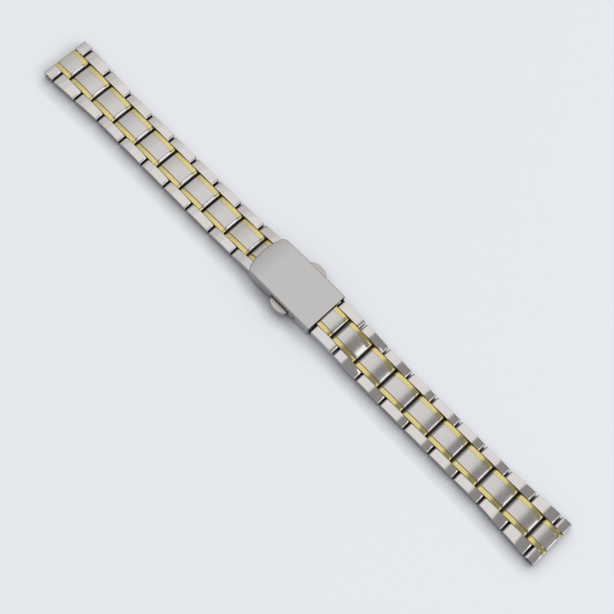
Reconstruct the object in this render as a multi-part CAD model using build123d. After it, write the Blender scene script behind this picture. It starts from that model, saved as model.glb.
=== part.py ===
from build123d import *
import os
from math import asin, cos, degrees, radians, sin

# Link watch bracelet with a three-fold push-button clasp, closed, laid out straight on a table.
# Millimetres. X runs along the bracelet, Y across it and Z up.
# The origin is on the table, under the middle of the clasp.
# The blade side is the half towards -X, and the cover side is the half towards +X.
# A link is a pair of outer pieces and a core with two gold trims, held by two hidden cross pins.

# Links, measured along the bracelet from the watch end
end_width = 14.0
body_width = 12.0
link_pitch = 8.5
link_height = 2.4
links_per_side = 10
flare_links = 2
end_outer_length = 3.3
tongue_length = 3.3
end_tongue_length = 2.7
centre_width = 7.1
core_width = 4.34
lengthwise_gap = 0.5
side_gap = 0.1
crown_drop = 0.3
top_corner_radius = 0.45
bottom_corner_radius = 0.3
tongue_tip_radius = 0.8
trim_corner_radius = 0.6
outer_edge_radius = 0.2

# Fits that every pin and bore shares
running_clearance = 0.04
seat_clearance = 0.02
cut_overrun = 1.0

# Hidden cross pins of a link
pin_radius = 0.5
pin_end_wall = 0.65
pin_end_gap = 0.05

# Spring bar tube of a watch end
tube_outer_radius = 0.98
tube_bore_radius = 0.8
tube_setback = 0.15

# Bars that hold the two halves in the clasp, and how the links hang from them
bar_span = 16.6
bar_height = 3.3
bar_radius = 0.6
first_drop_share = 0.62
level_links_cover_side = 1

# Clasp cover
cover_length = 23.0
cover_side_gap = 0.08
cover_top = 5.5
cover_plate = 0.5
cover_wall = 0.42
mouth_beyond_bar = 1.75
lip_bulge = 1.3
lip_corner_radius = 1.6
lip_drop = 0.75
lip_curve_length = 7.0
wall_bottom = 1.3
wall_deep_bottom = 0.6
deep_start = 3.9
deep_end = 6.2
deep_blend = 2.2
cover_edge_radius = 0.35
adjust_hole_radius = 0.38
adjust_hole_pitch = 3.4
adjust_holes = 2

# Hinge between cover and middle blade, and hinge between the two blades, set out from the bars
cover_hinge_setback = 2.75
cover_hinge_z = 1.9
blade_hinge_setback = 2.3
blade_hinge_z = 1.0
knuckle_radius = 0.95
hinge_pin_radius = 0.45

# Middle blade
middle_blade_bottom = 0.95
middle_blade_thickness = 0.7
middle_strip_gap = 0.4
middle_head_gap = 1.08
middle_head_length = 1.15
middle_knuckle_step = 0.4

# Wrist blade, which lies against the wrist and carries the catch
wrist_blade_thickness = 0.65
wrist_blade_gap = 0.48
wrist_blade_beyond_bar = 0.3
outer_knuckle_step = 1.0
knuckle_gap = 0.1
notch_clearance = 0.25
ear_radius = 1.1
ear_gap_share = 0.27
ear_thickness_share = 0.4
ear_foot_length = 1.6

# Push buttons, their catch blocks and springs
button_x = 0.0
button_length_share = 0.485
button_bottom = 1.7
button_top = 3.5
button_proud = 1.9
button_side_length = 1.1
button_corner_radius = 0.55
button_edge_radius = 0.2
button_travel = 0.6
button_play = 0.05
button_stem_share = 0.57
button_flange_share = 0.75
button_flange_thickness = 0.4
button_stem_bottom = 2.0
button_stem_top = 3.2
slot_clearance = 0.25
slot_headroom = 0.8
slot_slant = 0.4
block_length_share = 0.563
block_depth = 2.8
block_top = 4.0
block_mouth_wall = 0.55
block_back_wall = 0.6
rivet_radius = 0.32
rivet_height = 2.0
rivet_inset = 0.5
spring_wire_radius = 0.09
spring_coil_radius = 0.42
spring_turns = 4

# Spring bar in the cover
bar_barrel_setback = 0.4
bar_bore_radius = 0.42
bar_plunger_radius = 0.4
bar_plunger_length = 1.6
bar_tip_radius = 0.34
bar_spring_wire_radius = 0.07
bar_spring_coil_radius = 0.28
bar_spring_turns = 9

cover_right = bar_span / 2 + mouth_beyond_bar
cover_left = cover_right - cover_length
cover_inner = body_width / 2 + cover_side_gap
cover_width = 2 * (cover_inner + cover_wall)
outer_inside = centre_width / 2 + side_gap
pin_bore_end = body_width / 2 - pin_end_wall

cover_hinge_x = cover_hinge_setback - bar_span / 2
blade_hinge_x = bar_span / 2 - blade_hinge_setback
hinge_span = blade_hinge_x - cover_hinge_x
wrist_blade_width = 2 * (cover_inner - wrist_blade_gap)
wrist_blade_left = -bar_span / 2 - wrist_blade_beyond_bar
outer_knuckle_width = wrist_blade_width - 2 * outer_knuckle_step
ear_room = cover_inner - centre_width / 2
ear_outer = cover_inner - ear_gap_share * ear_room
ear_thickness = ear_thickness_share * ear_room

block_length = block_length_share * hinge_span
block_outer = wrist_blade_width / 2
block_inner = block_outer - block_depth
button_length = button_length_share * hinge_span
button_stem_length = button_stem_share * button_length
button_flange_length = button_flange_share * button_length
button_head_inside = block_outer + button_play + button_travel
button_tip = cover_width / 2 + button_proud
middle_strip_width = 2 * (block_inner - middle_strip_gap)
middle_head_width = 2 * (cover_inner - middle_head_gap)
middle_head_right = cover_hinge_x + middle_head_length
middle_knuckle_width = middle_strip_width - 2 * middle_knuckle_step


def outer_start(k):
    """Distance from the watch end to where the outer pieces of link k begin."""
    if k == 0:
        return 0
    if k == 1:
        return end_outer_length
    return centre_start(k) - tongue_length


def centre_start(k):
    """Distance from the watch end to where the core of link k begins."""
    if k == 0:
        return 0
    return end_outer_length + end_tongue_length + (k - 1) * link_pitch


def hinge_distance(k):
    """Distance from the watch end to the pin that joins link k to link k - 1."""
    return (outer_start(k) + centre_start(k)) / 2


def half_width_at(distance):
    """Half the bracelet's width, which flares over the links beside the watch end."""
    start = outer_start(1)
    end = outer_start(1 + flare_links)
    share = min(max((distance - start) / (end - start), 0), 1)
    return (end_width + (body_width - end_width) * share) / 2


def column(face, low, high):
    """A plan view made solid from one height to another."""
    return extrude(Pos(0, 0, low) * face, amount=high - low, dir=(0, 0, 1))


def upright(face):
    """Stands a face drawn in X and Y up in X and Z."""
    return Rot(90, 0, 0) * face


def slab(face, y_from, y_to):
    """An upright profile, thick from one Y to another."""
    return extrude(Pos(0, y_from, 0) * upright(face), amount=y_to - y_from, dir=(0, 1, 0))


def cross_rod(x, z, radius, half_length):
    """A round rod across the bracelet, centred on it."""
    return Pos(x, 0, z) * Rot(90, 0, 0) * Cylinder(radius, 2 * half_length)


def side_rod(x, z, radius, y_from, y_to):
    """A round rod across the bracelet between two places on its +Y side."""
    return Pos(x, (y_from + y_to) / 2, z) * Rot(90, 0, 0) * Cylinder(radius, y_to - y_from)


def other_side(solid):
    """The same piece on the -Y side."""
    return mirror(solid, about=Plane.XZ)


def face_of(*lines):
    """A face inside a closed run of lines and arcs."""
    return Face(Wire([edge for line in lines for edge in line.edges()]))


def box_between(low, high):
    """A box from one corner to the opposite one."""
    size = [b - a for a, b in zip(low, high)]
    middle = [(a + b) / 2 for a, b in zip(low, high)]
    return Pos(*middle) * Box(*size)


def link_profile(start, end, top_radius, start_radius, end_radius):
    """Side view of a link piece: a crowned top, and rounded corners."""
    low = -link_height / 2
    high = link_height / 2
    shoulder = high - crown_drop
    crown = ThreePointArc((start, shoulder), ((start + end) / 2, high), (end, shoulder))
    rest = Polyline((end, shoulder), (end, low), (start, low), (start, shoulder))
    face = face_of(crown, rest)
    face = face.fillet_2d(top_radius, [v for v in face.vertices() if v.Y > 0])
    corner = face.vertices().filter_by(lambda v: v.Y < low / 2).sort_by(Axis.X)
    face = face.fillet_2d(start_radius, [corner[0]])
    corner = face.vertices().filter_by(lambda v: v.Y < low / 2).sort_by(Axis.X)
    return face.fillet_2d(end_radius, [corner[-1]])


def gap_before(k):
    """The half gap at the start of link k, which a watch end doesn't have."""
    return 0 if k == 0 else lengthwise_gap / 2


def outer_pieces(k):
    """The two outer pieces of link k, tapered where the bracelet flares."""
    start = outer_start(k) + gap_before(k)
    end = outer_start(k + 1) - lengthwise_gap / 2
    profile = link_profile(start, end, top_corner_radius, bottom_corner_radius, bottom_corner_radius)
    plan = face_of(Polyline(
        (start, outer_inside),
        (end, outer_inside),
        (end, half_width_at(end)),
        (start, half_width_at(start)),
        (start, outer_inside)))
    piece = slab(profile, outer_inside, end_width) & column(plan, -link_height, link_height)
    outside = piece.faces().sort_by(Axis.Y)[-1]
    piece = fillet(outside.edges(), outer_edge_radius)
    return piece, other_side(piece)


def centre_pieces(k):
    """The steel core of link k and its two gold trims."""
    start = centre_start(k) + gap_before(k)
    end = centre_start(k + 1) - lengthwise_gap / 2
    core_profile = link_profile(start, end, top_corner_radius, bottom_corner_radius, tongue_tip_radius)
    trim_profile = link_profile(start, end, trim_corner_radius, bottom_corner_radius, tongue_tip_radius)
    core = slab(core_profile, -core_width / 2, core_width / 2)
    trim = slab(trim_profile, core_width / 2 + seat_clearance, centre_width / 2)
    return core, trim, other_side(trim)


def drill(pieces, x, radius, half_length):
    """Each piece with a bore across the bracelet."""
    tool = cross_rod(x, 0, radius, half_length)
    return [piece - tool for piece in pieces]


def make_link(k):
    """Link k as a list of steel pieces and a list of gold trims, with its clasp hinge at the origin."""
    outers = list(outer_pieces(k))
    centres = list(centre_pieces(k))
    extras = []
    if k == 0:
        x = end_outer_length / 2
        bore = tube_outer_radius + seat_clearance
        outers = drill(outers, x, bore, end_width)
        centres = drill(centres, x, bore, end_width)
        tube_half = end_width / 2 - tube_setback
        tube = cross_rod(x, 0, tube_outer_radius, tube_half)
        extras.append(tube - cross_rod(x, 0, tube_bore_radius, tube_half + cut_overrun))
    else:
        fixed_x = (centre_start(k) + outer_start(k + 1)) / 2
        hinge_x = hinge_distance(k)
        seat = pin_radius + seat_clearance
        outers = drill(drill(outers, fixed_x, seat, pin_bore_end), hinge_x, seat, pin_bore_end)
        centres = drill(centres, fixed_x, seat, centre_width)
        for x in (hinge_x, fixed_x):
            extras.append(cross_rod(x, 0, pin_radius, pin_bore_end - pin_end_gap))
    tongue_pin = bar_radius if k == links_per_side - 1 else pin_radius
    centres = drill(centres, hinge_distance(k + 1), tongue_pin + running_clearance, centre_width)
    shift = Pos(-hinge_distance(k + 1), 0, 0)
    steel = [shift * piece for piece in outers + centres[:1] + extras]
    gold = [shift * piece for piece in centres[1:]]
    return steel, gold


def resting_tilt(height, run):
    """Tilt of a link that runs down from a hinge at this height until a lower corner is on the table."""
    foot = tongue_length / 2 - lengthwise_gap / 2 - bottom_corner_radius
    return degrees(asin(max(height - link_height / 2, 0) / (run + foot)))


def link_places(level_links):
    """Clasp-side hinge place and tilt of each link, from the clasp outwards."""
    x = bar_span / 2
    z = bar_height
    tilt = 0
    places = {}
    for step in range(links_per_side):
        k = links_per_side - 1 - step
        length = hinge_distance(k + 1) - hinge_distance(k) if k else 0
        if step == level_links:
            tilt = degrees(asin(first_drop_share * (z - link_height / 2) / length))
        elif step > level_links:
            tilt = resting_tilt(z, length)
        places[k] = (x, z, tilt)
        x += length * cos(radians(tilt))
        z -= length * sin(radians(tilt))
    return places


def link_name(k, word):
    """The number counts from the clasp, and the last link is the end link."""
    return f"end_{word}" if k == 0 else f"{word}_{links_per_side - k}"


def make_half(side, turn, level_links):
    """Every link of one half, in its place."""
    parts = {}
    for k, (x, z, tilt) in link_places(level_links).items():
        steel, gold = make_link(k)
        place = Rot(0, 0, turn) * Pos(-x, 0, z) * Rot(0, -tilt, 0)
        parts[f"{side}_{link_name(k, 'link')}"] = [place * piece for piece in steel]
        parts[f"{side}_{link_name(k, 'trims')}"] = [place * piece for piece in gold]
    return parts


def lip_line(height):
    """The cover's top line, or its underside: level, then falling to the lip."""
    bend = cover_left + lip_curve_length
    level = Line((cover_right, height), (bend, height))
    fall = TangentArc((bend, height), (cover_left, height - lip_drop), tangent=(-1, 0))
    return level, fall


def cover_side_face():
    """Side view of the cover, with the walls' lower edge that is deepest round the hinge pin."""
    level, fall = lip_line(cover_top)
    lip_under = cover_top - lip_drop - cover_plate
    deep_x = cover_left + deep_start
    tip = Line((cover_left, cover_top - lip_drop), (cover_left, lip_under))
    shoulder = Bezier(
        (cover_left, lip_under),
        (cover_left + lip_bulge, lip_under),
        (cover_left + lip_bulge, wall_deep_bottom),
        (deep_x, wall_deep_bottom))
    under = Polyline(
        (deep_x, wall_deep_bottom),
        (cover_left + deep_end, wall_deep_bottom),
        (cover_left + deep_end + deep_blend, wall_bottom),
        (cover_right, wall_bottom),
        (cover_right, cover_top))
    return face_of(level, fall, tip, shoulder, under)


def cover_plan_face():
    """Top view of the cover: a square mouth and a bowed lip with round corners."""
    corner_x = cover_left + lip_bulge
    half = cover_width / 2
    bow = ThreePointArc((corner_x, half), (cover_left, 0), (corner_x, -half))
    sides = Polyline((corner_x, -half), (cover_right, -half), (cover_right, half), (corner_x, half))
    face = face_of(bow, sides)
    corners = face.vertices().sort_by(Axis.X)[:2]
    return face.fillet_2d(lip_corner_radius, corners)


def channel():
    """The space under the cover's top, between its walls."""
    level, fall = lip_line(cover_top - cover_plate)
    low = -cover_top
    under = Polyline(
        (cover_left, cover_top - lip_drop - cover_plate),
        (cover_left - cut_overrun, cover_top - lip_drop - cover_plate),
        (cover_left - cut_overrun, low),
        (cover_right + cut_overrun, low),
        (cover_right + cut_overrun, cover_top - cover_plate),
        (cover_right, cover_top - cover_plate))
    return slab(face_of(level, fall, under), -cover_inner, cover_inner)


def button_slots():
    """The slots for the buttons in both walls, open below and slanted where the catch swings out."""
    left = button_x - button_length / 2 - slot_clearance
    right = button_x + button_length / 2 + slot_clearance
    top = button_top + slot_headroom
    face = face_of(Polyline(
        (left, top), (right, top), (right, -top), (left - slot_slant, -top),
        (left - slot_slant, wall_bottom), (left, top)))
    return slab(face, -cover_width, cover_width)


def make_cover():
    """Folded sheet cover with its two hinge holes and its rows of adjusting holes."""
    block = slab(cover_side_face(), -cover_width / 2, cover_width / 2)
    body = block & column(cover_plan_face(), 0, cover_top + cut_overrun)
    crease_x = cover_left + lip_curve_length
    lip_low = cover_top - lip_drop - cover_plate / 2
    rim = [
        edge for edge in body.edges()
        if edge.bounding_box().min.Z > lip_low
        and edge.center().X < cover_right - cover_plate
        and (edge.bounding_box().size.X > cover_plate or abs(edge.center().X - crease_x) > cover_plate)]
    body = fillet(rim, cover_edge_radius)
    body = body - channel() - button_slots()
    seat = hinge_pin_radius + seat_clearance
    body -= cross_rod(cover_hinge_x, cover_hinge_z, seat, cover_width)
    for step in range(adjust_holes):
        x = bar_span / 2 - step * adjust_hole_pitch
        body -= cross_rod(x, bar_height, adjust_hole_radius, cover_width)
    return [body]


def make_middle_blade():
    """Blade that hinges on the cover at one end and on the wrist blade at the other."""
    top = middle_blade_bottom + middle_blade_thickness
    strip_half = middle_strip_width / 2
    head_half = middle_head_width / 2
    knuckle_half = middle_knuckle_width / 2
    neck_end = blade_hinge_x - knuckle_radius - notch_clearance
    head_start = (cover_hinge_x, -head_half, middle_blade_bottom)
    body = box_between(head_start, (middle_head_right, head_half, top))
    body += box_between((cover_hinge_x, -strip_half, middle_blade_bottom), (neck_end, strip_half, top))
    knuckle_start = (neck_end - knuckle_radius, -knuckle_half, middle_blade_bottom)
    body += box_between(knuckle_start, (blade_hinge_x, knuckle_half, top))
    body += cross_rod(cover_hinge_x, cover_hinge_z, knuckle_radius, head_half)
    body += cross_rod(blade_hinge_x, blade_hinge_z, knuckle_radius, knuckle_half)
    bore = hinge_pin_radius + running_clearance
    body -= cross_rod(cover_hinge_x, cover_hinge_z, bore, cover_width)
    body -= cross_rod(blade_hinge_x, blade_hinge_z, bore, cover_width)
    return [body]


def ear_face():
    """Side view of an ear: a round eye on a foot that stands on the wrist blade."""
    bar_x = -bar_span / 2
    foot = Polyline(
        (bar_x - ear_radius, bar_height),
        (wrist_blade_left, 0),
        (wrist_blade_left + ear_foot_length, 0),
        (bar_x + ear_radius, bar_height))
    eye = ThreePointArc(
        (bar_x + ear_radius, bar_height),
        (bar_x, bar_height + ear_radius),
        (bar_x - ear_radius, bar_height))
    return face_of(foot, eye)


def make_wrist_blade():
    """Blade against the wrist, with two ears for the links and two knuckles for its hinge."""
    half = wrist_blade_width / 2
    knuckle_half = outer_knuckle_width / 2
    inner = middle_knuckle_width / 2 + knuckle_gap
    notch_x = blade_hinge_x - knuckle_radius - notch_clearance
    body = box_between((wrist_blade_left, -half, 0), (notch_x, half, wrist_blade_thickness))
    body += box_between((notch_x, -knuckle_half, 0), (blade_hinge_x, knuckle_half, wrist_blade_thickness))
    body += cross_rod(blade_hinge_x, blade_hinge_z, knuckle_radius, knuckle_half)
    reach = blade_hinge_x + knuckle_radius + cut_overrun
    body -= box_between((notch_x, -inner, -cut_overrun), (reach, inner, cover_top))
    ear = slab(ear_face(), ear_outer - ear_thickness, ear_outer)
    body = body + ear + other_side(ear)
    bar_seat = bar_radius + seat_clearance
    body -= cross_rod(-bar_span / 2, bar_height, bar_seat, cover_width)
    body -= cross_rod(blade_hinge_x, blade_hinge_z, hinge_pin_radius + seat_clearance, cover_width)
    for x, y in rivet_places():
        body -= Pos(x, y, 0) * Cylinder(rivet_radius + seat_clearance, cover_top)
    return [body]


def rivet_places():
    """Middles of the four rivets that hold the catch blocks."""
    reach = block_length / 2 - rivet_inset
    across = (block_inner + block_outer) / 2
    return [(button_x + a * reach, b * across) for a in (-1, 1) for b in (-1, 1)]


def make_rivets():
    """Rivets, flush under the wrist blade."""
    return [Pos(x, y, rivet_height / 2) * Cylinder(rivet_radius, rivet_height) for x, y in rivet_places()]


def make_catch_block(side):
    """Block on the wrist blade that guides one button and holds its spring."""
    low_x = button_x - block_length / 2
    high_x = button_x + block_length / 2
    body = box_between((low_x, block_inner, wrist_blade_thickness), (high_x, block_outer, block_top))
    flange = button_flange_length / 2 + button_play
    stem = button_stem_length / 2 + button_play
    ceiling = button_stem_top + button_play
    chamber_back = block_inner + block_back_wall
    chamber_front = block_outer - block_mouth_wall
    low_z = wrist_blade_thickness - cut_overrun
    mouth = block_outer + cut_overrun
    body -= box_between((button_x - flange, chamber_back, low_z), (button_x + flange, chamber_front, ceiling))
    body -= box_between((button_x - stem, chamber_back, low_z), (button_x + stem, mouth, ceiling))
    for x, y in rivet_places():
        hole = Pos(x, abs(y), 0) * Cylinder(rivet_radius + seat_clearance, 2 * (rivet_height + pin_end_gap))
        body -= hole
    return [body if side > 0 else other_side(body)]


def make_button(side):
    """Push button: a bowed head outside the wall, a stem, and a flange that keeps it in its block."""
    left = button_x - button_length / 2
    right = button_x + button_length / 2
    shoulder = button_head_inside + button_side_length
    bow = ThreePointArc((left, shoulder), (button_x, button_tip), (right, shoulder))
    back = button_head_inside
    base = Polyline((right, shoulder), (right, back), (left, back), (left, shoulder))
    plan = face_of(bow, base)
    plan = plan.fillet_2d(button_corner_radius, plan.vertices().sort_by(Axis.Y)[-2:])
    head = column(plan, button_bottom, button_top)
    flats = head.faces().sort_by(Axis.Z)
    rim = flats[0].edges() + flats[-1].edges()
    outer_rim = [edge for edge in rim if edge.center().Y > button_head_inside + button_play]
    head = fillet(outer_rim, button_edge_radius)
    flange_front = block_outer - block_mouth_wall - button_play
    flange_back = flange_front - button_flange_thickness
    half_stem = button_stem_length / 2
    half_flange = button_flange_length / 2
    head += box_between(
        (button_x - half_stem, flange_back, button_stem_bottom),
        (button_x + half_stem, button_head_inside, button_stem_top))
    head += box_between(
        (button_x - half_flange, flange_back, button_stem_bottom),
        (button_x + half_flange, flange_front, button_stem_top))
    return [head if side > 0 else other_side(head)]


def coil(length, coil_radius, wire_radius, turns):
    """A coil spring that stands on its lower end at the origin."""
    rise = length - 2 * wire_radius
    path = Helix(pitch=rise / turns, height=rise, radius=coil_radius)
    section = Plane(origin=path @ 0, z_dir=path % 0) * Circle(wire_radius)
    return Pos(0, 0, wire_radius) * sweep(section, path=path, is_frenet=True)


def make_button_spring(side):
    """Coil spring between the block's back wall and the button's flange."""
    back = block_inner + block_back_wall + pin_end_gap
    front = block_outer - block_mouth_wall - button_play - button_flange_thickness - pin_end_gap
    middle_z = (button_stem_bottom + button_stem_top) / 2
    spring = coil(front - back, spring_coil_radius, spring_wire_radius, spring_turns)
    spring = Pos(button_x, back, middle_z) * Rot(-90, 0, 0) * spring
    return [spring if side > 0 else other_side(spring)]


def make_adjust_bar():
    """Spring bar barrel and its two plungers, whose tips sit in the cover's holes."""
    x = bar_span / 2
    barrel_half = cover_inner - bar_barrel_setback
    barrel = cross_rod(x, bar_height, bar_radius, barrel_half)
    barrel -= cross_rod(x, bar_height, bar_bore_radius, cover_width)
    plunger_start = barrel_half - bar_plunger_length
    plunger = side_rod(x, bar_height, bar_plunger_radius, plunger_start, barrel_half)
    plunger += side_rod(x, bar_height, bar_tip_radius, barrel_half, cover_width / 2 - pin_end_gap)
    return [barrel, plunger, other_side(plunger)]


def make_adjust_bar_spring():
    """Coil spring inside the barrel, between the two plungers."""
    half = cover_inner - bar_barrel_setback - bar_plunger_length - pin_end_gap
    spring = coil(2 * half, bar_spring_coil_radius, bar_spring_wire_radius, bar_spring_turns)
    return [Pos(bar_span / 2, -half, bar_height) * Rot(-90, 0, 0) * spring]


def make_clasp():
    """Every piece of the clasp."""
    cover_pin_half = cover_width / 2 - pin_end_gap
    blade_pin_half = outer_knuckle_width / 2
    parts = {
        "clasp_cover": make_cover(),
        "middle_blade": make_middle_blade(),
        "wrist_blade": make_wrist_blade(),
        "cover_hinge_pin": [cross_rod(cover_hinge_x, cover_hinge_z, hinge_pin_radius, cover_pin_half)],
        "blade_hinge_pin": [cross_rod(blade_hinge_x, blade_hinge_z, hinge_pin_radius, blade_pin_half)],
        "blade_end_pin": [cross_rod(-bar_span / 2, bar_height, bar_radius, ear_outer)],
        "adjust_spring_bar": make_adjust_bar(),
        "adjust_bar_spring": make_adjust_bar_spring(),
        "catch_rivets": make_rivets(),
    }
    for name, side in (("near", -1), ("far", 1)):
        parts[f"{name}_catch_block"] = make_catch_block(side)
        parts[f"{name}_push_button"] = make_button(side)
        parts[f"{name}_button_spring"] = make_button_spring(side)
    return parts


def make_bracelet():
    """Every node of the bracelet by name, each a list of separate solids."""
    parts = make_clasp()
    parts.update(make_half("blade_side", 0, 0))
    parts.update(make_half("cover_side", 180, level_links_cover_side))
    return parts


def as_solids(piece):
    """The solids of a piece, whatever kind of shape it is."""
    return list(piece.solids())


os.makedirs("parts", exist_ok=True)
for name, pieces in make_bracelet().items():
    solids = [solid for piece in pieces for solid in as_solids(piece)]
    export_step(Compound(children=solids), f"parts/{name}.step")
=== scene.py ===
# %% [markdown]
# # A two-tone link bracelet for a watch
#
# This lesson dresses a link bracelet that a CAD program has already built and packed.
# The CAD model gives every size, every hinge and every button. Here we make the links again
# with the soft edges, brushed steel and polished gold plating that the eye looks for, and we
# give the clasp's own pieces their metals. Every object is in metres, and stays where the
# CAD says it is.

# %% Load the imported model
from math import asin, cos, pi, radians, sin

import bpy
from mathutils import Matrix, Vector


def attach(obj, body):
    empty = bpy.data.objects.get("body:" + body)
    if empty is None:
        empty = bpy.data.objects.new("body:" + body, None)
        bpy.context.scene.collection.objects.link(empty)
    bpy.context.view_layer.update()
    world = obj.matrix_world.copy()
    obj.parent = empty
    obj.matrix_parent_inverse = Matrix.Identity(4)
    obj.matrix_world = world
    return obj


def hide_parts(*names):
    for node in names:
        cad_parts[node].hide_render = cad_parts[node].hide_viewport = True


MM = 0.001
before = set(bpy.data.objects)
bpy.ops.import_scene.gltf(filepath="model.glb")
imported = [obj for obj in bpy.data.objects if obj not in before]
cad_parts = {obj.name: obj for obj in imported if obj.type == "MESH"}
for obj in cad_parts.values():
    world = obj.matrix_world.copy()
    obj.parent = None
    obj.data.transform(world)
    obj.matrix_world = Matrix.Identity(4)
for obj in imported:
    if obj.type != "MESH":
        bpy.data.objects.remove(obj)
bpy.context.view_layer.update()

# %% [markdown]
# ## Camera
#
# The photograph looks down on the bracelet from almost overhead, with the bracelet lying
# from the upper left to the lower right. A camera could be placed by eye, but the links
# repeat so evenly that a small error shows at the far end. So its place, its roll and its
# lens come from a fit to the corners of the links. It stands to the lower right.

# %% Camera
EYE = Vector((67.85, -101.28, 329.16)) * MM
LOOK_AT = Vector((4.55, -0.86, 0.0)) * MM
ROLL = 0.251
FOCAL_PIXELS = 1378.75
PICTURE_PIXELS = 614
SENSOR_WIDTH = 36.0
NEAREST, FARTHEST = 0.01, 20


def aim_camera(eye, look_at, roll):
    """A turn whose -Z looks from the eye to the point, with the picture rolled about that line."""
    forward = (look_at - eye).normalized()
    level = forward.cross(Vector((0, 0, 1))).normalized()
    up = level.cross(forward)
    across = cos(roll) * level + sin(roll) * up
    upwards = -sin(roll) * level + cos(roll) * up
    turn = Matrix((across, upwards, -forward)).transposed()
    return Matrix.Translation(eye) @ turn.to_4x4()


camera_data = bpy.data.cameras.new("photo_camera")
camera_data.sensor_width = SENSOR_WIDTH
camera_data.lens = FOCAL_PIXELS * SENSOR_WIDTH / PICTURE_PIXELS
camera_data.clip_start = NEAREST
camera_data.clip_end = FARTHEST
camera = bpy.data.objects.new("photo_camera", camera_data)
bpy.context.scene.collection.objects.link(camera)
camera.matrix_world = aim_camera(EYE, LOOK_AT, ROLL)
bpy.context.scene.camera = camera
print("lens, mm:", round(camera_data.lens, 1))

# %% [markdown]
# ## Helpers for node trees
#
# Nodes could be made one property at a time, which takes many lines. A tree is easier to
# read when each node is made, set and wired in one call, so these helpers do that. They
# serve the materials and, later, the trees that make the links.

# %% Helpers for node trees
def wire(tree, socket, value):
    """Joins a node's output to an input, or sets the input to a plain value."""
    if isinstance(value, bpy.types.NodeSocket):
        tree.links.new(value, socket)
    else:
        socket.default_value = value


def node(tree, kind, settings=None, **values):
    """Adds a node, sets its properties, and wires its inputs by name."""
    made = tree.nodes.new(kind)
    for key, value in (settings or {}).items():
        setattr(made, key, value)
    for key, value in values.items():
        wire(tree, made.inputs[key.replace("_", " ")], value)
    return made


def math(tree, operation, *values):
    """A math node's output."""
    made = node(tree, "ShaderNodeMath", {"operation": operation})
    for socket, value in zip(made.inputs, values):
        wire(tree, socket, value)
    return made.outputs[0]


# %% Helpers for materials
def new_material(name):
    """An empty material with its output node and its principled shader."""
    material = bpy.data.materials.new(name)
    material.use_nodes = True
    material.node_tree.nodes.clear()
    tree = material.node_tree
    output = tree.nodes.new("ShaderNodeOutputMaterial")
    shader = tree.nodes.new("ShaderNodeBsdfPrincipled")
    tree.links.new(shader.outputs["BSDF"], output.inputs["Surface"])
    return material, tree, shader


def colour_between(tree, share, dark, light):
    """A colour ramp between two colours."""
    ramp = node(tree, "ShaderNodeValToRGB", Fac=share)
    ramp.color_ramp.elements[0].color = (*dark, 1)
    ramp.color_ramp.elements[1].color = (*light, 1)
    return ramp.outputs["Color"]


HELPERS = (wire, node, math, new_material, colour_between)
print("node helpers:", ", ".join(helper.__name__ for helper in HELPERS))

# %% [markdown]
# ## The hollow of the clasp cover
#
# The cover is a folded sheet, open below and at its right end. Little light gets inside, and what does is
# lost between the inner faces. More bounces of light could show that at the price of a slow render. Instead
# the steel is painted a dull black there as painted shade, found from its place: between the walls, and below
# the plate, which falls away along the lip. Its cut end at the right gets the same painted shade.

# %% Where the cover is hollow
COVER_INNER = 6.1
COVER_UNDERSIDE = 5.01
COVER_RIGHT = 10.03
LIP_BEND = -5.95
LIP_LENGTH = 7.0
LIP_DROP = 0.75


def under_cover(tree, place):
    """1 inside the clasp cover and on its cut end, where little light gets in, and 0 elsewhere."""
    at = node(tree, "ShaderNodeSeparateXYZ", Vector=place).outputs
    aside = math(tree, "LESS_THAN", math(tree, "ABSOLUTE", at["Y"]), COVER_INNER * MM)
    past_bend = math(tree, "MAXIMUM", math(tree, "SUBTRACT", LIP_BEND * MM, at["X"]), 0.0)
    fall = math(tree, "MULTIPLY", math(tree, "MULTIPLY", past_bend, past_bend),
                LIP_DROP / LIP_LENGTH ** 2 / MM)
    below = math(tree, "LESS_THAN", math(tree, "ADD", at["Z"], fall), COVER_UNDERSIDE * MM)
    ended = math(tree, "GREATER_THAN", at["X"], COVER_RIGHT * MM)
    return math(tree, "MAXIMUM", math(tree, "MULTIPLY", aside, below), ended)


print("hollow below, mm:", COVER_UNDERSIDE, "lip falls by, mm:", LIP_DROP)

# %% [markdown]
# ## Brushed metal
#
# Brushed steel is a mirror with thousands of fine parallel scratches. They could be cut into the mesh or
# painted as a picture. A noise stretched along the brushing does the same at any distance, and drives the
# tone, the gloss and the bump. A second, broad noise makes the gloss a little uneven, as handled metal is.
# The gaps between links are deep and get little light, so each link's mesh carries a number for painted
# shade, and where it is high the metal is painted a dull black. The cover's steel takes the same painted
# shade from where its hollow is.

# %% Brushed metal
SCRATCH_SHARE, PATCH_SHARE = 0.55, 0.45
SCRATCH_ROUGHNESS = 0.6
PATCH_SCALE = 260.0
PATCH_ROUGHNESS = 0.55
NOISE_DETAIL = 3.0
TONE_LOW, TONE_HIGH = 0.3, 0.7
BUMP_REACH = 0.00002
HOLLOW_SHADE = 0.9
# Painted shade: the near black that the metal turns to in the gaps and under the cover.
SHADE_BLACK = (0.012, 0.011, 0.010, 1)


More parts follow.
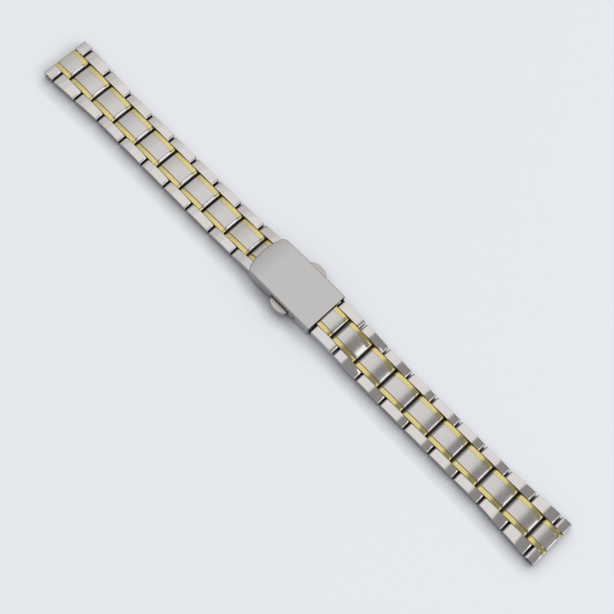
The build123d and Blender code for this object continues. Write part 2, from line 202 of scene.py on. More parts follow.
def brushed_metal(name, dark, light, roughness, spread, grain, grain_depth, brushing, hollow):
    """Metal with fine scratches that run where the brushing scale is small."""
    material, tree, shader = new_material(name)
    place = node(tree, "ShaderNodeTexCoord").outputs["Object"]
    stretched = node(tree, "ShaderNodeMapping", Vector=place, Scale=brushing).outputs["Vector"]
    scratches = node(tree, "ShaderNodeTexNoise", Vector=stretched, Scale=grain, Detail=NOISE_DETAIL,
                     Roughness=SCRATCH_ROUGHNESS)
    patches = node(tree, "ShaderNodeTexNoise", Vector=place, Scale=PATCH_SCALE, Detail=NOISE_DETAIL,
                   Roughness=PATCH_ROUGHNESS)
    tone = math(tree, "ADD", math(tree, "MULTIPLY", scratches.outputs["Fac"], SCRATCH_SHARE),
                math(tree, "MULTIPLY", patches.outputs["Fac"], PATCH_SHARE))
    # Painted shade: the number stored on the links, or the cover's hollow for the cover's steel, mixes the
    # metal towards black.
    painted_shade = node(tree, "ShaderNodeAttribute", {"attribute_name": "painted_shade"}).outputs["Fac"]
    # Painted shade inside the clasp cover and on its cut end.
    if hollow:
        painted_shade = math(tree, "MULTIPLY", under_cover(tree, place), HOLLOW_SHADE)
    shaded = node(tree, "ShaderNodeMix", {"data_type": "RGBA"})
    wire(tree, shaded.inputs[0], painted_shade)
    wire(tree, shaded.inputs[6], colour_between(tree, tone, dark, light))
    shaded.inputs[7].default_value = SHADE_BLACK
    wire(tree, shader.inputs["Base Color"], shaded.outputs[2])
    wire(tree, shader.inputs["Metallic"], math(tree, "SUBTRACT", 1.0, painted_shade))
    shader.inputs["Specular IOR Level"].default_value = 0.0
    rough = node(tree, "ShaderNodeMapRange", Value=tone, From_Min=TONE_LOW, From_Max=TONE_HIGH,
                 To_Min=roughness - spread, To_Max=roughness + spread).outputs["Result"]
    wire(tree, shader.inputs["Roughness"], rough)
    bump = node(tree, "ShaderNodeBump", Height=scratches.outputs["Fac"], Strength=grain_depth,
                Distance=BUMP_REACH)
    wire(tree, shader.inputs["Normal"], bump.outputs["Normal"])
    return material


# %% [markdown]
# ## The bracelet's metals
#
# The links' cores are brushed along the bracelet and their outer pieces are nearly polished,
# which is why only those show the lamps with sharp edges. The cover is the dullest. The
# buttons are brushed the other way, and gold plating is thin, so the trims keep the gloss
# of the steel under them. One table holds all of it, because the tones only make sense
# side by side.

# %% The table of metals
ALONG, ACROSS, EVENLY = (0.05, 1, 1), (1, 0.05, 1), (1, 1, 1)
ALONG_COVER = (0.03, 1, 1)
METAL_LOOKS = {
    # name: darkest, lightest, roughness, its spread, grain, grain depth, brushing
    "link_steel": ((0.40, 0.393, 0.388), (0.52, 0.511, 0.503), 0.18, 0.06, 9000, 0.06, ALONG),
    "link_polish": ((0.45, 0.44, 0.434), (0.57, 0.558, 0.548), 0.09, 0.03, 9000, 0.04, ALONG),
    "cover_steel": ((0.395, 0.390, 0.388), (0.445, 0.440, 0.438), 0.27, 0.03, 9000, 0.03, ALONG_COVER),
    "blade_steel": ((0.48, 0.48, 0.48), (0.60, 0.60, 0.60), 0.3, 0.06, 8000, 0.3, ALONG),
    "button_steel": ((0.34, 0.325, 0.31), (0.45, 0.43, 0.415), 0.28, 0.06, 9000, 0.2, ACROSS),
    "pin_steel": ((0.42, 0.42, 0.43), (0.55, 0.55, 0.56), 0.3, 0.06, 6000, 0.2, ACROSS),
    "spring_steel": ((0.36, 0.36, 0.38), (0.5, 0.5, 0.52), 0.3, 0.06, 6000, 0.1, EVENLY),
    "gold_trim": ((0.49, 0.40, 0.155), (0.59, 0.505, 0.24), 0.13, 0.04, 7000, 0.04, ALONG),
}
METALS = {}
for name, look in METAL_LOOKS.items():
    METALS[name] = brushed_metal(name, *look, hollow=(name == "cover_steel"))
print("metals:", ", ".join(METALS))

# %% [markdown]
# ## Metals for the CAD pieces
#
# The cover, the blades, the blocks, the buttons and the small pins have plain shapes that
# the CAD already gives well, so they stay and only get their metals. Each node's name says
# what it is. The links' nodes are dressed too, and are replaced further down.

# %% Dress the CAD nodes
def metal_for(name):
    """The metal that a CAD node takes, by what the node is."""
    if "spring" in name and name != "adjust_spring_bar":
        return "spring_steel"
    if "trims" in name:
        return "gold_trim"
    if name.startswith(("blade_side", "cover_side")):
        return "link_steel"
    if name == "clasp_cover":
        return "cover_steel"
    if "push_button" in name:
        return "button_steel"
    if "pin" in name or "bar" in name or "rivets" in name:
        return "pin_steel"
    return "blade_steel"


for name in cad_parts:
    cad_object = bpy.data.objects[name]
    metal = METALS[metal_for(name)]
    if not cad_object.material_slots:
        cad_object.data.materials.append(metal)
    for material_slot in cad_object.material_slots:
        material_slot.material = metal
worn = [metal_for(name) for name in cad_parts]
print("nodes in each metal:", {metal: worn.count(metal) for metal in METALS})

# %% [markdown]
# ## The sizes of a link
#
# A link has two outer pieces, a core and two gold trims, on two hidden cross pins. The core
# reaches into the next link towards the clasp, which is how they hang together. The sizes
# could be measured on the CAD's meshes, but a box doesn't tell where a gap or a rounded end
# begins. So the numbers repeat the CAD model's, in millimetres from the watch end.

# %% Link sizes
END_WIDTH = 14.0
BODY_WIDTH = 12.0
LINK_PITCH = 8.5
LINK_HEIGHT = 2.4
LINKS_PER_SIDE = 10
FLARE_LINKS = 2
END_OUTER_LENGTH = 3.3
TONGUE_LENGTH = 3.3
END_TONGUE_LENGTH = 2.7
CENTRE_WIDTH = 7.1
CORE_WIDTH = 4.34
GAP = 0.5
SIDE_GAP = 0.1
SEAT = 0.02
PIN_RADIUS = 0.5
PIN_HALF_LENGTH = 5.3
BAR_HALF_SPAN = 8.3
BAR_HEIGHT = 3.3
BOTTOM_RADIUS = 0.3


def centre_start(k):
    """Distance from the watch end to the core of link k."""
    return 0 if k == 0 else END_OUTER_LENGTH + END_TONGUE_LENGTH + (k - 1) * LINK_PITCH


def outer_start(k):
    """Distance from the watch end to the outer pieces of link k."""
    if k < 2:
        return END_OUTER_LENGTH * k
    return centre_start(k) - TONGUE_LENGTH


def hinge_distance(k):
    """Distance from the watch end to the pin between links k and k - 1."""
    return (outer_start(k) + centre_start(k)) / 2


def half_width_at(distance):
    """Half the width, which flares over the links beside the watch."""
    start, end = outer_start(1), outer_start(1 + FLARE_LINKS)
    share = min(max((distance - start) / (end - start), 0), 1)
    return (END_WIDTH + (BODY_WIDTH - END_WIDTH) * share) / 2


print("hinges from the watch end, mm:", [round(hinge_distance(k), 2) for k in range(1, LINKS_PER_SIDE + 1)])

# %% [markdown]
# ## How the links lie
#
# The clasp holds its two bars above the table, so the links beside it slope down until they
# rest. The slopes could be set one by one, but then a change of the clasp's height would
# undo them. Here each link starts at the hinge where the last one ended, and turns down until
# its foot touches the table. The first sloping link is held back by the stiffness of its
# joint, and only takes a share of the drop.

# %% Places and slopes of the links
FIRST_DROP_SHARE = 0.62


def resting_tilt(height, run):
    """Tilt at which a link that runs down from a hinge touches the table."""
    foot = TONGUE_LENGTH / 2 - GAP / 2 - BOTTOM_RADIUS
    return asin(max(height - LINK_HEIGHT / 2, 0) / (run + foot))


def link_places(level_links):
    """Clasp-side hinge and tilt of each link of one half, from the clasp outwards."""
    x, z, tilt, places = BAR_HALF_SPAN, BAR_HEIGHT, 0.0, {}
    for step in range(LINKS_PER_SIDE):
        k = LINKS_PER_SIDE - 1 - step
        length = hinge_distance(k + 1) - hinge_distance(k) if k else 0
        if step == level_links:
            tilt = asin(FIRST_DROP_SHARE * (z - LINK_HEIGHT / 2) / length)
        elif step > level_links:
            tilt = resting_tilt(z, length)
        places[k] = (x, z, tilt)
        x += length * cos(tilt)
        z -= length * sin(tilt)
    return places


print("watch end to bar, mm:", round(link_places(0)[0][0] - BAR_HALF_SPAN, 2))

# %% [markdown]
# ## One piece of a link, in Geometry Nodes
#
# Every piece of a link is the same kind of shape: a bar with rounded corners in its side
# view, a crowned top, and perhaps a taper. It could be modelled by hand and copied, but the
# lengths and widths differ from link to link, and a stretched copy has stretched corners.
# So one node group makes them all from their sizes. It is reused for outer pieces, cores and
# trims.

# %% Helpers for geometry trees
def geometry_group(name, inputs):
    """A geometry node tree with named number and vector inputs, its input node and its output node."""
    tree = bpy.data.node_groups.new(name, "GeometryNodeTree")
    tree.interface.new_socket("Geometry", in_out="OUTPUT", socket_type="NodeSocketGeometry")
    for label, kind in inputs:
        tree.interface.new_socket(label, in_out="INPUT", socket_type=kind)
    return tree, tree.nodes.new("NodeGroupInput").outputs, tree.nodes.new("NodeGroupOutput")


def clamped_ramp(tree, value, start, end):
    """0 before the start, 1 after the end, and even between them."""
    made = node(tree, "ShaderNodeMapRange", {"clamp": True}, Value=value, From_Min=start, From_Max=end)
    return made.outputs["Result"]


def choose(tree, test, when_false, when_true):
    """One of two numbers."""
    made = tree.nodes.new("GeometryNodeSwitch")
    made.input_type = "FLOAT"
    wire(tree, made.inputs["Switch"], test)
    wire(tree, made.inputs["False"], when_false)
    wire(tree, made.inputs["True"], when_true)
    return made.outputs["Output"]


def larger(tree, a, b):
    """Whether a is more than b."""
    made = node(tree, "FunctionNodeCompare", {"data_type": "FLOAT", "operation": "GREATER_THAN"})
    wire(tree, made.inputs[0], a)
    wire(tree, made.inputs[1], b)
    return made.outputs["Result"]


def stepped(tree, index, steps, sizes):
    """A place along an axis: two corner zones with a flat run between them."""
    first, flat, last = sizes
    a, b = steps
    total = math(tree, "MULTIPLY", clamped_ramp(tree, index, 0.0, float(a)), first)
    middle = clamped_ramp(tree, index, float(a), float(a + b))
    total = math(tree, "ADD", total, math(tree, "MULTIPLY", middle, flat))
    corner = clamped_ramp(tree, index, float(a + b), float(2 * a + b))
    return math(tree, "ADD", total, math(tree, "MULTIPLY", corner, last))


# %% [markdown]
# ### Rounded corners
#
# The group starts from a cube with enough vertices, and moves each one by a rule. Along the
# piece and up it, the vertices are spread over two corner zones and a flat run. Those in a
# corner zone then go onto an arc. A Bevel modifier could round the corners too, but not each
# corner with its own radius.

# %% The rounded bar
CORNER_STEPS = 6
FLAT_STEPS = 24
UPRIGHT_STEPS = 4
WIDTH_STEPS = 6
NO_LENGTH, LEAST_DIVISOR = 1e-8, 1e-9
PIECE_INPUTS = [
    "Start", "End", "Height", "Inside", "Start Half Width", "End Half Width",
    "Top Radius", "Start Radius", "End Radius", "Crown", "End Fall", "Side Crown", "Outside Fall",
    "Open Side", "Open Start", "Shade From", "Start Slope", "Top End Radius",
]


def numbers(labels):
    """The labels as inputs that take a number."""
    return [(label, "NodeSocketFloat") for label in labels]


piece_group, given, piece_output = geometry_group("link_piece", numbers(PIECE_INPUTS))
t = piece_group
cube = node(t, "GeometryNodeMeshCube", Size=(1, 1, 1), Vertices_X=2 * CORNER_STEPS + FLAT_STEPS + 1,
            Vertices_Y=WIDTH_STEPS + 1, Vertices_Z=2 * CORNER_STEPS + UPRIGHT_STEPS + 1)
at = node(t, "ShaderNodeSeparateXYZ", Vector=t.nodes.new("GeometryNodeInputPosition").outputs[0]).outputs
length = math(t, "SUBTRACT", given["End"], given["Start"])
above = larger(t, at["Z"], 0.0)
ahead = larger(t, at["X"], 0.0)
start_r = choose(t, above, given["Start Radius"], given["Top Radius"])
end_r = choose(t, above, given["End Radius"], given["Top End Radius"])
low_r = choose(t, ahead, given["Start Radius"], given["End Radius"])
top_r = choose(t, ahead, given["Top Radius"], given["Top End Radius"])
x_index = math(t, "MULTIPLY", math(t, "ADD", at["X"], 0.5), 2.0 * CORNER_STEPS + FLAT_STEPS)
z_index = math(t, "MULTIPLY", math(t, "ADD", at["Z"], 0.5), 2.0 * CORNER_STEPS + UPRIGHT_STEPS)
x_flat = math(t, "SUBTRACT", math(t, "SUBTRACT", length, start_r), end_r)
z_flat = math(t, "SUBTRACT", math(t, "SUBTRACT", given["Height"], low_r), top_r)
x = stepped(t, x_index, (CORNER_STEPS, FLAT_STEPS), (start_r, x_flat, end_r))
z = stepped(t, z_index, (CORNER_STEPS, UPRIGHT_STEPS), (low_r, z_flat, top_r))
x_over = math(t, "ADD", math(t, "MINIMUM", math(t, "SUBTRACT", x, start_r), 0.0),
              math(t, "MAXIMUM", math(t, "SUBTRACT", x, math(t, "SUBTRACT", length, end_r)), 0.0))
z_over = math(t, "ADD", math(t, "MINIMUM", math(t, "SUBTRACT", z, low_r), 0.0),
              math(t, "MAXIMUM", math(t, "SUBTRACT", z, math(t, "SUBTRACT", given["Height"], top_r)), 0.0))
farther = math(t, "MAXIMUM", math(t, "ABSOLUTE", x_over), math(t, "ABSOLUTE", z_over))
straight = math(t, "SQRT", math(t, "ADD", math(t, "MULTIPLY", x_over, x_over),
                                math(t, "MULTIPLY", z_over, z_over)))
divisor = math(t, "MAXIMUM", straight, LEAST_DIVISOR)
pull = math(t, "SUBTRACT", 1.0, math(t, "DIVIDE", farther, divisor))
pull = choose(t, larger(t, straight, NO_LENGTH), 0.0, pull)
x = math(t, "SUBTRACT", x, math(t, "MULTIPLY", x_over, pull))
z = math(t, "SUBTRACT", z, math(t, "MULTIPLY", z_over, pull))
print("vertices along a piece:", 2 * CORNER_STEPS + FLAT_STEPS + 1)

# %% [markdown]
# ### The crown and the taper
#
# The tops of the links are slightly domed, which is what makes each one show the lamps as a
# bright field that ends in a dark band. The top falls with the square of the distance from
# the middle, and a little more towards the very ends. Flat tops would all show one tone.
# The width changes evenly from one end to the other, for the flare beside the watch.

# %% Crown and taper
CROWN_REACH = 4.0
along = math(t, "DIVIDE", x, length)
from_middle = math(t, "DIVIDE", math(t, "SUBTRACT", x, math(t, "MULTIPLY", length, 0.5)), CROWN_REACH * MM)
from_side = math(t, "MULTIPLY", at["Y"], 2.0)
from_inside = math(t, "ADD", at["Y"], 0.5)
fall = 0.0
for distance, power, depth in ((from_middle, 2.0, "Crown"), (from_middle, 4.0, "End Fall"),
                               (from_side, 2.0, "Side Crown"), (from_inside, 2.0, "Outside Fall")):
    risen = math(t, "POWER", math(t, "ABSOLUTE", distance), power)
    fall = math(t, "ADD", fall, math(t, "MULTIPLY", risen, given[depth]))
fall = math(t, "ADD", fall, math(t, "MULTIPLY", math(t, "SUBTRACT", length, x), given["Start Slope"]))
z = math(t, "SUBTRACT", z, math(t, "MULTIPLY", fall, math(t, "DIVIDE", z, given["Height"])))
z = math(t, "SUBTRACT", z, math(t, "MULTIPLY", given["Height"], 0.5))
widening = math(t, "SUBTRACT", given["End Half Width"], given["Start Half Width"])
outside = math(t, "ADD", given["Start Half Width"], math(t, "MULTIPLY", widening, along))
width = math(t, "SUBTRACT", outside, given["Inside"])
y = math(t, "ADD", given["Inside"], math(t, "MULTIPLY", width, math(t, "ADD", at["Y"], 0.5)))
moved = node(t, "ShaderNodeCombineXYZ", X=math(t, "ADD", x, given["Start"]), Y=y, Z=z).outputs["Vector"]
print("nodes for the shape:", len(t.nodes))

# %% [markdown]
# ### The dark of the gaps
#
# The faces that look into a gap hardly get light, and a render with few bounces shows them too bright. So
# each vertex stores a number for painted shade, which grows with the depth below the top. The underside, the
# outer flanks and the watch end are open, so they have none. The link in the clasp's mouth also has painted
# shade on its top, where the cover shades it.

# %% Painted shade of the gaps
SHADE_DEPTH_START, SHADE_DEPTH_END = 0.55, 1.15
UNDERSIDE_START, UNDERSIDE_END = 0.05, 0.5
SHADE_REACH = 0.25
depth = math(t, "SUBTRACT", math(t, "MULTIPLY", given["Height"], 0.5), z)
# Painted shade, darker with the depth below a link's top.
painted_shade = clamped_ramp(t, depth, SHADE_DEPTH_START * MM, SHADE_DEPTH_END * MM)
height_above = math(t, "SUBTRACT", given["Height"], depth)
underside = clamped_ramp(t, height_above, UNDERSIDE_START * MM, UNDERSIDE_END * MM)
painted_shade = math(t, "MULTIPLY", painted_shade, underside)
flank = larger(t, math(t, "ABSOLUTE", y), math(t, "SUBTRACT", outside, given["Open Side"]))
painted_shade = choose(t, flank, painted_shade, 0.0)
painted_shade = choose(t, larger(t, given["Open Start"], x), painted_shade, 0.0)
# Painted shade on the top of the link in the clasp's mouth, where the cover shades it.
beyond = math(t, "SUBTRACT", math(t, "ADD", x, given["Start"]), given["Shade From"])
painted_shade = math(t, "MAXIMUM", painted_shade, clamped_ramp(t, beyond, 0.0, SHADE_REACH * MM))
dimmed = node(t, "GeometryNodeStoreNamedAttribute", {"data_type": "FLOAT", "domain": "POINT"},
              Geometry=cube.outputs["Mesh"], Name="painted_shade", Value=painted_shade).outputs["Geometry"]
shaped = node(t, "GeometryNodeSetPosition", Geometry=dimmed, Position=moved).outputs["Geometry"]
wire(t, piece_output.inputs["Geometry"], shaped)
print("link piece group nodes:", len(t.nodes))

# %% [markdown]
# ## The steel and the gold of one link
#
# Two trees use that group. One makes the steel of a link, which is a pair of outer pieces,
# the core and the cross pins. The other makes its two gold trims, because gold and steel are
# separate pieces in the CAD. Linked copies would be quicker, but each link moves on its own
# body and needs its own mesh. So both trees move the finished link to its place and slope,
# and are run with the numbers of each link.

# %% Parts of a link
RIM_ANGLE = radians(40)
PIN_SIDES = 24


def painted(tree, geometry, metal):
    """The geometry in this metal."""
    return node(tree, "GeometryNodeSetMaterial", Geometry=geometry, Material=metal).outputs["Geometry"]


def cross_pin(tree, at_x, radius, half_length):
    """A plain pin across the bracelet."""
    rod = node(tree, "GeometryNodeMeshCylinder", Vertices=PIN_SIDES, Radius=radius,
               Depth=math(tree, "MULTIPLY", half_length, 2.0)).outputs["Mesh"]
    place = node(tree, "ShaderNodeCombineXYZ", X=at_x).outputs["Vector"]
    return node(tree, "GeometryNodeTransform", Geometry=rod, Translation=place,
                Rotation=(pi / 2, 0, 0)).outputs["Geometry"]


def cut_by(tree, body, tool):
    """The body with the tool's room cut out of it."""
    cut = node(tree, "GeometryNodeMeshBoolean", {"operation": "DIFFERENCE", "solver": "EXACT"}, Mesh_1=body)
    tree.links.new(tool, cut.inputs["Mesh 2"])
    return cut.outputs["Mesh"]


def piece_in(tree, sizes, metal, rim, bore=None):
    """A link piece made with these sizes, perhaps bored across, with its sharp rims marked for the bevel."""
    made = tree.nodes.new("GeometryNodeGroup")
    made.node_tree = piece_group
    for label, value in sizes.items():
        wire(tree, made.inputs[label], value)
    piece = made.outputs["Geometry"]
    if bore:
        piece = cut_by(tree, piece, cross_pin(tree, *bore))
    edge_angle = tree.nodes.new("GeometryNodeInputMeshEdgeAngle").outputs["Unsigned Angle"]
    weight = choose(tree, larger(tree, edge_angle, RIM_ANGLE), 0.0, rim)
    piece = node(tree, "GeometryNodeStoreNamedAttribute", {"data_type": "FLOAT", "domain": "EDGE"},
                 Geometry=piece, Name="bevel_weight_edge", Value=weight).outputs["Geometry"]
    return painted(tree, piece, metal)


def other_side(tree, geometry):
    """The same geometry mirrored to the -Y side, with its faces still outwards."""
    turned = node(tree, "GeometryNodeTransform", Geometry=geometry, Scale=(1, -1, 1)).outputs["Geometry"]
    return node(tree, "GeometryNodeFlipFaces", Mesh=turned).outputs["Mesh"]


def finish_link(tree, output, given, parts):
    """Joins the parts and puts the link in its place."""
    joined = tree.nodes.new("GeometryNodeJoinGeometry")
    for part in parts:
        tree.links.new(part, joined.inputs["Geometry"])
    moved = node(tree, "GeometryNodeTransform", Geometry=joined.outputs["Geometry"],
                 Translation=given["Place"], Rotation=given["Turn"]).outputs["Geometry"]
    smooth = node(tree, "GeometryNodeSetShadeSmooth", Geometry=moved).outputs["Geometry"]
    real = node(tree, "GeometryNodeRealizeInstances", Geometry=smooth).outputs["Geometry"]
    wire(tree, output.inputs["Geometry"], real)


PART_MAKERS = (piece_in, other_side, cross_pin, finish_link)
print("parts of a link:", ", ".join(maker.__name__ for maker in PART_MAKERS))

# %% [markdown]
# ### The steel tree
#
# A watch end is bored across for an open tube, and takes the watch's spring bar, so it needs
# a cut where the other links have plain pins. A switch inside one tree would work out both
# each time. Two trees from the same function are quicker, and only the watch ends pay for
# the cut.

# %% Tree for the steel
SHARED = ["Height", "Top Radius", "Start Radius", "End Radius", "Crown", "End Fall", "Side Crown",
          "Start Slope", "Open Start", "Shade From"]
PLACED = [("Place", "NodeSocketVector"), ("Turn", "NodeSocketVector")]
STEEL_INPUTS = ["Outer Start", "Outer End", "Outer Inside", "Start Half Width", "End Half Width",
                "Outside Fall", "Core Start", "Core End", "Core Half Width", "Core End Radius",
                "Core Top End Radius", "Hinge Pin", "Fixed Pin", "Pin Radius", "Pin Half Length",
                "Outer Rim", "Core Rim", "Bore At", "Bore Radius"]
BORE_REACH = 10.0
OUTER_SHADE_LEAD = 0.55
OUTER_OPEN_SIDE = 0.1
NO_OPEN_SIDE = -1.0


def steel_tree(name, bored):
    """The tree for the steel of a link. A bored one has an open tube for the watch's spring bar."""
    tree, given, output = geometry_group(name, numbers(STEEL_INPUTS + SHARED) + PLACED)
    shared = {label: given[label] for label in SHARED}
    bore = (given["Bore At"], given["Bore Radius"], BORE_REACH * MM) if bored else None
    outer = piece_in(tree, shared | {
        "Start": given["Outer Start"], "End": given["Outer End"], "Inside": given["Outer Inside"],
        "Start Half Width": given["Start Half Width"], "End Half Width": given["End Half Width"],
        "Outside Fall": given["Outside Fall"], "Side Crown": 0.0, "Open Side": OUTER_OPEN_SIDE * MM,
        "End Fall": 0.0, "Top End Radius": given["Top Radius"],
        "Shade From": math(tree, "SUBTRACT", given["Shade From"], OUTER_SHADE_LEAD * MM),
        }, METALS["link_polish"], given["Outer Rim"], bore)
    core = piece_in(tree, shared | {
        "Start": given["Core Start"], "End": given["Core End"],
        "Inside": math(tree, "MULTIPLY", given["Core Half Width"], -1.0),
        "Start Half Width": given["Core Half Width"], "End Half Width": given["Core Half Width"],
        "End Radius": given["Core End Radius"], "Side Crown": 0.0, "Outside Fall": 0.0,
        "Top End Radius": given["Core Top End Radius"], "Open Side": NO_OPEN_SIDE,
        }, METALS["link_steel"], given["Core Rim"], bore)
    if bored:
        rod = cross_pin(tree, given["Bore At"], math(tree, "SUBTRACT", given["Bore Radius"], SEAT * MM),
                        given["Pin Half Length"])
        room = cross_pin(tree, given["Bore At"], given["Pin Radius"], BORE_REACH * MM)
        pins = [cut_by(tree, rod, room)]
    else:
        pins = [cross_pin(tree, given[place], given["Pin Radius"], given["Pin Half Length"])
                for place in ("Hinge Pin", "Fixed Pin")]
    pins = [painted(tree, pin, METALS["pin_steel"]) for pin in pins]
    finish_link(tree, output, given, [outer, other_side(tree, outer), core] + pins)
    return tree


print("numbers that a steel tree takes:", len(STEEL_INPUTS + SHARED))

# %% [markdown]
# ### The trim tree
#
# A trim is a narrow gold-plated bar on each side of the core, with the same ends as the core
# and a rounder top. Gold could be a painted stripe on the core, but the thin dark line
# between the two would be missing. It is the same group with other widths.

# %% Tree for the trims
TRIM_INPUTS = ["Start", "End", "Inside", "Half Width", "Rim", "Bore At", "Bore Radius", "Top End Radius"]


def trim_tree(name, bored):
    """The tree for the two gold trims of a link."""
    tree, given, output = geometry_group(name, numbers(TRIM_INPUTS + SHARED) + PLACED)
    bore = (given["Bore At"], given["Bore Radius"], BORE_REACH * MM) if bored else None
    sizes = {label: given[label] for label in SHARED + ["Start", "End", "Inside", "Top End Radius"]}
    trim = piece_in(tree, sizes | {
        "Start Half Width": given["Half Width"], "End Half Width": given["Half Width"],
        "Outside Fall": 0.0, "Open Side": NO_OPEN_SIDE,
        }, METALS["gold_trim"], given["Rim"], bore)
    finish_link(tree, output, given, [trim, other_side(tree, trim)])
    return tree


TREES = {bored: (steel_tree("steel_" + word, bored), trim_tree("trims_" + word, bored))
         for bored, word in ((False, "of_a_link"), (True, "of_a_watch_end"))}
print("trees:", ", ".join(f"{tree.name} {len(tree.nodes)} nodes" for pair in TREES.values() for tree in pair))

# %% [markdown]
# ## Running a tree and rounding its rims
#
# Real rims are never sharp, and the thin bright line along them is much of what makes metal
# look like metal. The tree marks the sharp rims of each piece with a bevel weight. Geometry
# Nodes have no bevel of their own, so a Bevel modifier rounds just those edges, and a
# Weighted Normal modifier keeps the flats flat to the eye. The evaluated result becomes a
# plain mesh, and the object that made it goes.

# %% Make a piece from a tree
RIM_WIDTH = 0.2
RIM_SEGMENTS = 3


def evaluated_mesh(source, name):
    """A plain object from what the modifiers of another one make, which is then removed."""
    graph = bpy.context.evaluated_depsgraph_get()
    mesh = bpy.data.meshes.new_from_object(source.evaluated_get(graph), depsgraph=graph)
    mesh.name = name
    old = source.data
    bpy.data.objects.remove(source)
    bpy.data.meshes.remove(old)
    made = bpy.data.objects.new(name, mesh)
    bpy.context.scene.collection.objects.link(made)
    return made


def run_tree(tree, name, values):
    """One run of a geometry tree with these inputs, bevelled and made a plain mesh."""
    source = bpy.data.objects.new(name + "_source", bpy.data.meshes.new(name + "_source"))
    bpy.context.scene.collection.objects.link(source)
    modifier = source.modifiers.new("pieces", "NODES")
    modifier.node_group = tree
    sockets = {item.name: item.identifier for item in tree.interface.items_tree if item.in_out == "INPUT"}
    for label, value in values.items():
        modifier[sockets[label]] = value
    rims = source.modifiers.new("rims", "BEVEL")
    rims.limit_method = "WEIGHT"
    rims.width = RIM_WIDTH * MM
    rims.segments = RIM_SEGMENTS
    source.modifiers.new("normals", "WEIGHTED_NORMAL").keep_sharp = False
    return evaluated_mesh(source, name)


print("rims, mm:", RIM_WIDTH, "in", RIM_SEGMENTS, "segments")

# %% [markdown]
# ## All twenty links
#
# The same trees make every link. Only the numbers differ: the two links beside each watch
# end are tapered, and the end link is short and holds the open tube that the watch's spring
# bar goes through. The half on the cover's side is turned round, so that it runs the other
# way. Each finished link rides on its CAD body and takes the place of its CAD node.

# %% Numbers for the visible shape
TOP_RADIUS = 0.45
TRIM_RADIUS = 0.5
TONGUE_RADIUS = 0.8
CORE_END_RADIUS = 0.9
TRIM_END_RADIUS = 0.7
TOP_CROWN = 0.3
TOP_END_FALL = 0.05
WATCH_END_SLOPE = 0.03
WATCH_END_OPEN = 0.6
MOUTH_SHADE = -2.1
NO_SHADE = LINK_PITCH
TRIM_SIDE_CROWN = 0.13
OUTSIDE_FALL = 0.16
TUBE_BORE_RADIUS = 0.8
TUBE_SEAT_RADIUS = 1.0
TUBE_HALF_LENGTH = 6.85
STEEL_RIMS = {"Outer Rim": 0.9, "Core Rim": 0.6}
TRIM_RIMS = {"Rim": 0.7}
print("crown, mm:", TOP_CROWN, "at", CROWN_REACH, "from the middle")


# %% Place the links
HALVES = {"blade_side": (0.0, 0), "cover_side": (pi, 1)}


def run_in_mm(tree, name, lengths, given):
    """Runs a tree with lengths in millimetres, and numbers that are already in their own units."""
    return run_tree(tree, name, {label: value * MM for label, value in lengths.items()} | given)


def make_link(side, k, x, z, tilt, turn):
    """The steel and the trims of one link, riding on its body."""
    number = "end" if k == 0 else LINKS_PER_SIDE - k
    shift = hinge_distance(k + 1)
    gap = GAP / 2 if k else 0.0
    core_start = centre_start(k) + gap - shift
    core_end = centre_start(k + 1) - GAP / 2 - shift
    start = outer_start(k) + gap
    end = outer_start(k + 1) - GAP / 2
    common = {
        "Height": LINK_HEIGHT, "Start Radius": BOTTOM_RADIUS, "End Radius": BOTTOM_RADIUS,
        "Crown": TOP_CROWN, "End Fall": TOP_END_FALL,
        "Bore At": END_OUTER_LENGTH / 2 - shift, "Bore Radius": TUBE_SEAT_RADIUS,
        "Open Start": 0 if k else WATCH_END_OPEN,
        "Shade From": MOUTH_SHADE if (side, number) == ("cover_side", 1) else NO_SHADE}
    steel_lengths = common | {
        "Outer Start": start - shift, "Outer End": end - shift, "Outer Inside": CENTRE_WIDTH / 2 + SIDE_GAP,
        "Start Half Width": half_width_at(start), "End Half Width": half_width_at(end),
        "Core Start": core_start, "Core End": core_end, "Core Half Width": CORE_WIDTH / 2,
        "Core End Radius": TONGUE_RADIUS, "Core Top End Radius": CORE_END_RADIUS,
        "Hinge Pin": hinge_distance(k) - shift,
        "Fixed Pin": (centre_start(k) + outer_start(k + 1)) / 2 - shift,
        "Pin Radius": PIN_RADIUS if k else TUBE_BORE_RADIUS,
        "Pin Half Length": PIN_HALF_LENGTH if k else TUBE_HALF_LENGTH,
        "Top Radius": TOP_RADIUS, "Side Crown": 0.0, "Outside Fall": OUTSIDE_FALL}
    trim_lengths = common | {
        "Start": core_start, "End": core_end,
        "Inside": CORE_WIDTH / 2 + SEAT, "Half Width": CENTRE_WIDTH / 2,
        "Top Radius": TRIM_RADIUS, "Top End Radius": TRIM_END_RADIUS, "End Radius": TONGUE_RADIUS,
        "Side Crown": TRIM_SIDE_CROWN}
    place = {"Place": (-x * cos(turn) * MM, 0.0, z * MM), "Turn": (0.0, -tilt, turn),
             "Start Slope": 0.0 if k else WATCH_END_SLOPE}
    steel_maker, trim_maker = TREES[k == 0]
    steel = run_in_mm(steel_maker, f"{side}_steel_{number}", steel_lengths, place | STEEL_RIMS)
    trims = run_in_mm(trim_maker, f"{side}_gold_{number}", trim_lengths, place | TRIM_RIMS)
    for made, word, finish in ((steel, "link", "link_steel"), (trims, "trims", "gold_trim")):
        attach(made, f"{side}_{number}")
        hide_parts(f"{side}_end_{word}" if k == 0 else f"{side}_{word}_{number}")
    return len(steel.data.polygons) + len(trims.data.polygons)


faces = 0
for side, (turn, level_links) in HALVES.items():
    for k, (x, z, tilt) in link_places(level_links).items():
        faces += make_link(side, k, x, z, tilt, turn)
print("faces in the links:", faces)

